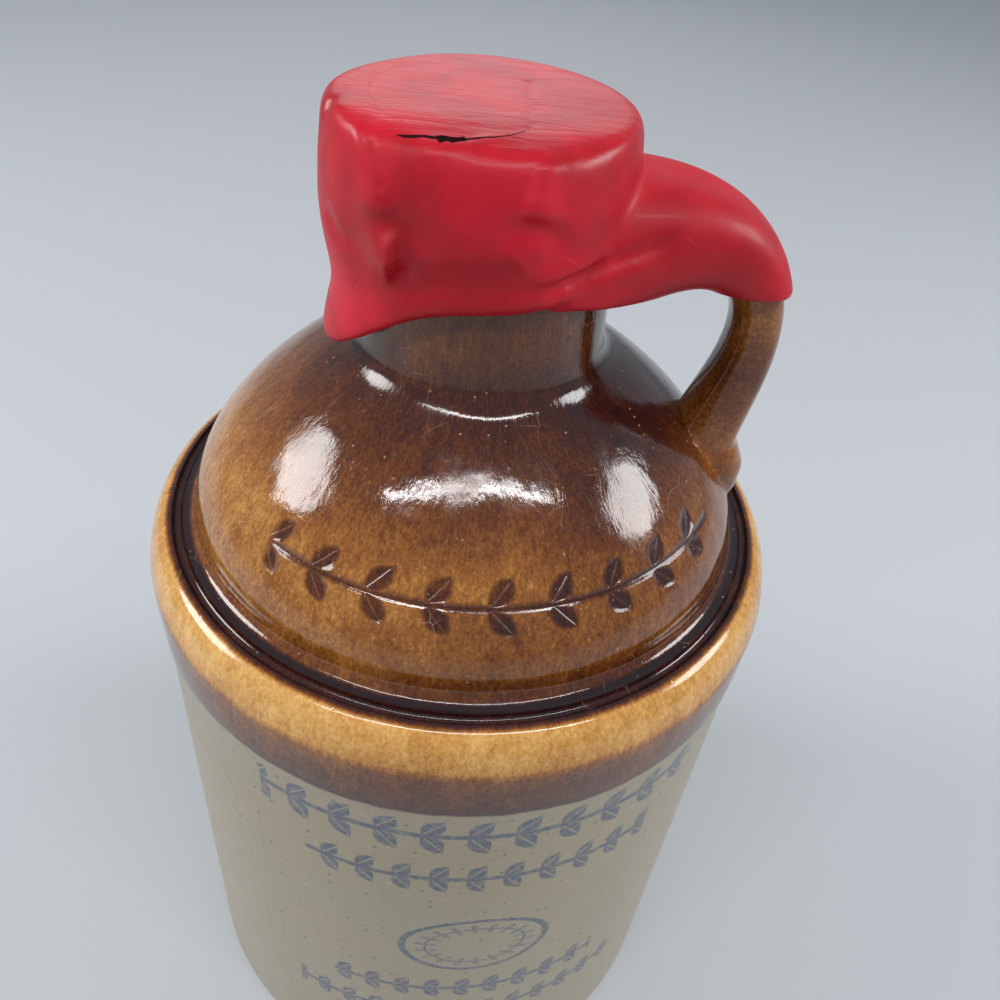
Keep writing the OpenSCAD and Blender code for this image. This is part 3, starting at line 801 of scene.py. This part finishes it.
# Both edges of the panel, with the ridges beside them and the folds where the left one ends
LEFT_EDGE = [(-15.5, -14, 190.2), (-14.9, -17.2, 188.8), (-13.4, -19, 186.2), (-12.3, -20, 184),
             (-11.4, -20, 180.5), (-9.6, -20.2, 179.2), (-7.4, -20.2, 177.1)]
RIGHT_EDGE = [(4.6, -17.9, 190.3), (4.2, -20.2, 187.5), (3.3, -21.2, 185.1), (2.8, -21.2, 182.7)]
press(wax, [(p[0] - 1.6, p[1], p[2]) for p in LEFT_EDGE[:4]], 1.7, 0.4)
press(wax, LEFT_EDGE, 0.7, -0.45)
press(wax, [(-12.3, -20, 183.9), (-12, -20, 182.2)], 0.9, 0.3)
press(wax, [(-11.6, -19.8, 179.2), (-11.8, -19.6, 177.1), (-12.2, -17.8, 172.4)], 0.9, 0.6)
press(wax, [(-10, -19.6, 178.2), (-9.8, -19.1, 175.4), (-10.2, -17.9, 172.2)], 1.1, -0.8)
press(wax, [(p[0] + 1.4, p[1], p[2]) for p in RIGHT_EDGE], 1.6, 0.45)
press(wax, RIGHT_EDGE, 0.8, -0.3)

# Beside the right edge: a small ridge, the hollow under it, and the long fold that runs to the handle
press(wax, [(4.3, -21, 184.7), (6.1, -20.3, 184.4), (7.5, -19.5, 183.3)], 1.5, 0.4)
press(wax, [(3.4, -21.1, 181.8), (5, -20.5, 181.9), (7.5, -19.5, 181.2), (9.3, -18.3, 179.6)], 2.0, -0.75)
press(wax, [(5.6, -18.7, 173.2), (11.5, -15.6, 174.4), (17, -12.8, 175.9), (19.6, -11.8, 176.7),
            (21.5, -11.1, 177.5), (23.1, -10.5, 178.5)], 1.1, -0.8)
press(wax, [(0.4, -20, 171.5), (6.1, -19.2, 172.2), (12.5, -15.5, 173), (18.8, -12.9, 174.9),
            (21.6, -11.8, 175.8)], 1.4, 0.45)

# Small dents: on the left, over the lower edge, on the panel and at the top's left rim
press(wax, [(-21.4, -10.6, 176.9), (-19.5, -12.8, 175.2), (-17, -15, 175.6)], 1.6, -0.6)
press(wax, [(-9.4, -18.8, 171), (-6.9, -19.6, 173), (-3.5, -20, 172.8)], 0.8, -0.35)
press(wax, [(3, -20.7, 178.8), (5, -19.5, 176.3)], 0.5, 0.3)
press(wax, [(-22.6, -8, 189.6), (-21, -7, 190.5)], 0.8, -0.8)

# The strip's two edges over the top, and the wax swollen in front of the crack
for across in PANEL:
    press(wax, [(across - 0.6, -15, 190.4), (across, -6, 190.5), (across - 0.4, 4, 190.5),
                (across, 13, 190.5)], 0.7, -0.22)
press(wax, [(-9, -17.2, 190.2), (-6, -17.6, 190.2), (-3.4, -17.4, 190.2), (0, -13.8, 190.4)], 1.3, 0.3)
modified(wax, "REMESH", mode="VOXEL", voxel_size=SKIN_GRID * MM, use_smooth_shade=True)
modified(wax, "SMOOTH", factor=0.5, iterations=2)

# The crack: a jagged sliver that opens widest where the front edge of the strip lies under the wax. Each
# point of its line is a place across and front to back, and how far it opens there
CRACK = [(-11.6, -15.4, 0.05), (-10.6, -15.6, 0.22), (-9.5, -15.7, 0.28), (-8.4, -15.6, 0.24),
         (-7.4, -15.9, 0.34), (-6.7, -15.7, 0.62), (-6.1, -16.1, 0.95), (-5.4, -15.9, 0.6),
         (-4.8, -16.1, 0.85), (-4.2, -15.8, 0.9), (-3.7, -15.9, 0.5), (-2.8, -15.5, 0.36),
         (-2, -15.3, 0.4), (-1.2, -14.9, 0.26), (-0.4, -14.6, 0.3), (0.5, -14, 0.22),
         (1.5, -13.3, 0.28), (2.4, -12.4, 0.2), (3.2, -11.5, 0.2), (3.9, -10.2, 0.14),
         (4.3, -8.8, 0.05)]
CRACK_MIDDLE = 189.8
CRACK_DEPTH = 2.2
CRACK_OPENS = 2.1


def crack_wall(angle, share):
    """The crack's sliver, widest near the skin and closing downwards."""
    x, y, open_by = CRACK[round(share * (len(CRACK) - 1))]
    turn = math.radians(angle)
    deep = CRACK_DEPTH * min(1, open_by / 0.5 + 0.25)
    open_by = CRACK_OPENS * open_by + 0.05
    return (x + 0.2 * open_by * math.cos(turn), y + 0.5 * open_by * math.cos(turn),
            CRACK_MIDDLE + math.sin(turn) * (deep if math.sin(turn) < 0 else 1.2))


cut(wax, tube("crack", 8, len(CRACK) - 1, crack_wall))

# The wax is parted round the cork. Each half has room for what it covers, and the halves nearly touch
PARTING = 16.85
CORK_HEAD_R = 12.6
CORK_HEAD_TOP = 188.5
STRIP_LEFT = -15.7
STRIP_RIGHT = 4.9
STRIP_ON_LIP = 187.5
STRIP_ON_CORK = 188.85
wax_sleeve = wax
wax_cap = twin(wax)
cut(wax_cap, round_block("cap_round", PARTING, LIP + 0.1, 200), how="INTERSECT")
cut(wax_cap, round_block("cork_head", CORK_HEAD_R, LIP - 1, CORK_HEAD_TOP),
    block("strip_over", (STRIP_LEFT, -20, LIP - 1), (STRIP_RIGHT, 20, STRIP_ON_LIP)),
    block("strip_on_cork", (STRIP_LEFT, -14, LIP), (STRIP_RIGHT, 14, STRIP_ON_CORK)))
clay_space = turned("clay_space", [(0.1, 100)] + top_outline(0.1) + [(0.1, LIP + 0.1)])
cut(wax_sleeve, clay_space, tube("handle_space", 40, 64, lambda a, t: strap(a, 0.75 * t, 0.1)),
    round_block("cap_space", PARTING + 0.02, 150, 200))
for piece, name, body, node in ((wax_cap, "wax_cap_round", "stopper", "wax_cap"),
                                (wax_sleeve, "wax_dip", "jug", "wax_sleeve")):
    piece.name = name
    only(piece)
    bpy.ops.object.shade_smooth_by_angle(angle=math.radians(40))
    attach(piece, body)
    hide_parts(node)

red_wax, tree, shader = finish_of("Red sealing wax")
spot = put(tree, "TexCoord").outputs["Object"]
lay = use(tree, place)
deep = grain(tree, spot, 70, 4, 0.6, 0.4)
tone = tint(tree, rise(tree, deep, 0.3, 0.7), srgb(172, 0, 22), srgb(206, 8, 38))
on_top = rise(tree, lay["Height"], WAX_TOP - 3.2, WAX_TOP - 0.6)
brush = put(tree, "Mapping", {"Vector": spot, "Scale": (0.35, 1.6, 1)})
ridges = grain(tree, brush.outputs[0], 260, 3, 0.55, 0.8)
lint = use(tree, scratches, Scale=165.0, Width=0.009, Amount=0.22)["Mask"]
tone = tint(tree, times(tree, lint, 0.4), tone, srgb(232, 150, 160))
gloss = rise(tree, plus(tree, times(tree, on_top, 0.5), grain(tree, spot, 110, 3)), 0.4, 1.0, 0.54, 0.34)
pressed_skin = grain(tree, spot, 160, 4, 0.6)
relief = plus(tree, times(tree, ridges, on_top), times(tree, pressed_skin, 0.7))
bump = put(tree, "Bump", {"Height": relief, "Strength": 0.4, "Distance": 0.0005})
feed(tree, shader, {"Base Color": tone, "Roughness": gloss, "Normal": bump.outputs[0],
                    "Specular IOR Level": 0.35, "Coat Weight": 0.1, "Coat Roughness": 0.2,
                    "Subsurface Weight": 0.15, "Subsurface Radius": (1.0, 0.2, 0.2),
                    "Subsurface Scale": 0.002})

# The crack's walls are coloured near black: painted shade, because the deep sliver gets little light
CRACK_REACH = 1.3
CRACK_FOOT = 187.3
CRACK_RIM = 190.4
crack_painted_shade, tree, shader = finish_of("Painted shade in the crack")
crack_shade_mottle = grain(tree, put(tree, "TexCoord").outputs["Object"], 1500, 3)
# A near-black red, mottled a little: the painted shade's colour
feed(tree, shader, {"Base Color": tint(tree, crack_shade_mottle, srgb(40, 6, 12), srgb(74, 22, 26)), "Roughness": 0.8})
crack_line = np.array([c[:2] for c in CRACK])
for piece in (wax_cap, wax_sleeve):
    give(piece, red_wax)
    piece.data.materials.append(crack_painted_shade)
    # Faces on the crack's walls take the painted shade
    for face in piece.data.polygons:
        gap = np.linalg.norm(crack_line - np.array(face.center[:2]) / MM, axis=1).min()
        if gap < CRACK_REACH and face.normal.z < 0.3 and CRACK_FOOT < face.center.z / MM < CRACK_RIM:
            face.material_index = 1

# Floor, light and camera
# A pale floor, soft lamps and the photograph's camera. None of it belongs to the jug. Places here are in
# metres, as Blender has them.
SHOULDER = Vector((0, 0, 0.13))
EYE = (0, -0.1191, 0.2251)
LENS = 31.63
bpy.ops.mesh.primitive_plane_add(size=6)
floor = bpy.context.object
floor.name = "floor"
floor_finish, tree, shader = finish_of("Pale floor")
feed(tree, shader, {"Base Color": srgb(196, 200, 204), "Roughness": 0.7})
give(floor, floor_finish)


def lamp(name, place, size, power, tall=None, shape="ELLIPSE"):
    """A soft lamp that faces the jug's shoulder, with its size across and, where it differs, its height."""
    bpy.ops.object.light_add(type="AREA", location=place)
    made = bpy.context.object
    made.name = name
    made.data.shape = shape
    made.data.size = size
    made.data.size_y = tall or size
    made.data.energy = power
    made.rotation_euler = (SHOULDER - Vector(place)).to_track_quat("-Z", "Y").to_euler()
    return made


lamp("strip_lamp", (0.03, -0.42, 1.03), 1.2, 4.6, 0.045, "RECTANGLE")
lamp("left_window", (-0.86, 0.0, 0.63), 0.46, 5.0, 0.38)
lamp("right_window", (0.86, 0.02, 0.6), 0.42, 3.6, 0.34)
lamp("back_window", (-0.05, 1.1, 0.5), 0.6, 0.5, 0.14)

world = bpy.data.worlds.new("Room")
bpy.context.scene.world = world
world.use_nodes = True
feed(world.node_tree, world.node_tree.nodes["Background"], {"Color": srgb(216, 222, 230), "Strength": 0.5})

# The camera's heading, its dip and its tilt, as fitted to the photograph
YAW, PITCH, ROLL = math.radians(2.91), math.radians(40.7), math.radians(6.85)
forward = Vector((math.sin(YAW) * math.cos(PITCH), math.cos(YAW) * math.cos(PITCH), -math.sin(PITCH)))
level = Vector((math.cos(YAW), -math.sin(YAW), 0))
upright = level.cross(forward)
right = level * math.cos(ROLL) + upright * math.sin(ROLL)
top = upright * math.cos(ROLL) - level * math.sin(ROLL)
bpy.ops.object.camera_add()
camera = bpy.context.object
facing = Matrix((right, top, -forward)).transposed().to_4x4()
camera.matrix_world = Matrix.Translation(EYE) @ facing
camera.data.lens = LENS
camera.data.sensor_width = 36
camera.data.clip_start = 0.005
bpy.context.scene.camera = camera
bpy.context.scene.view_settings.view_transform = "Standard"
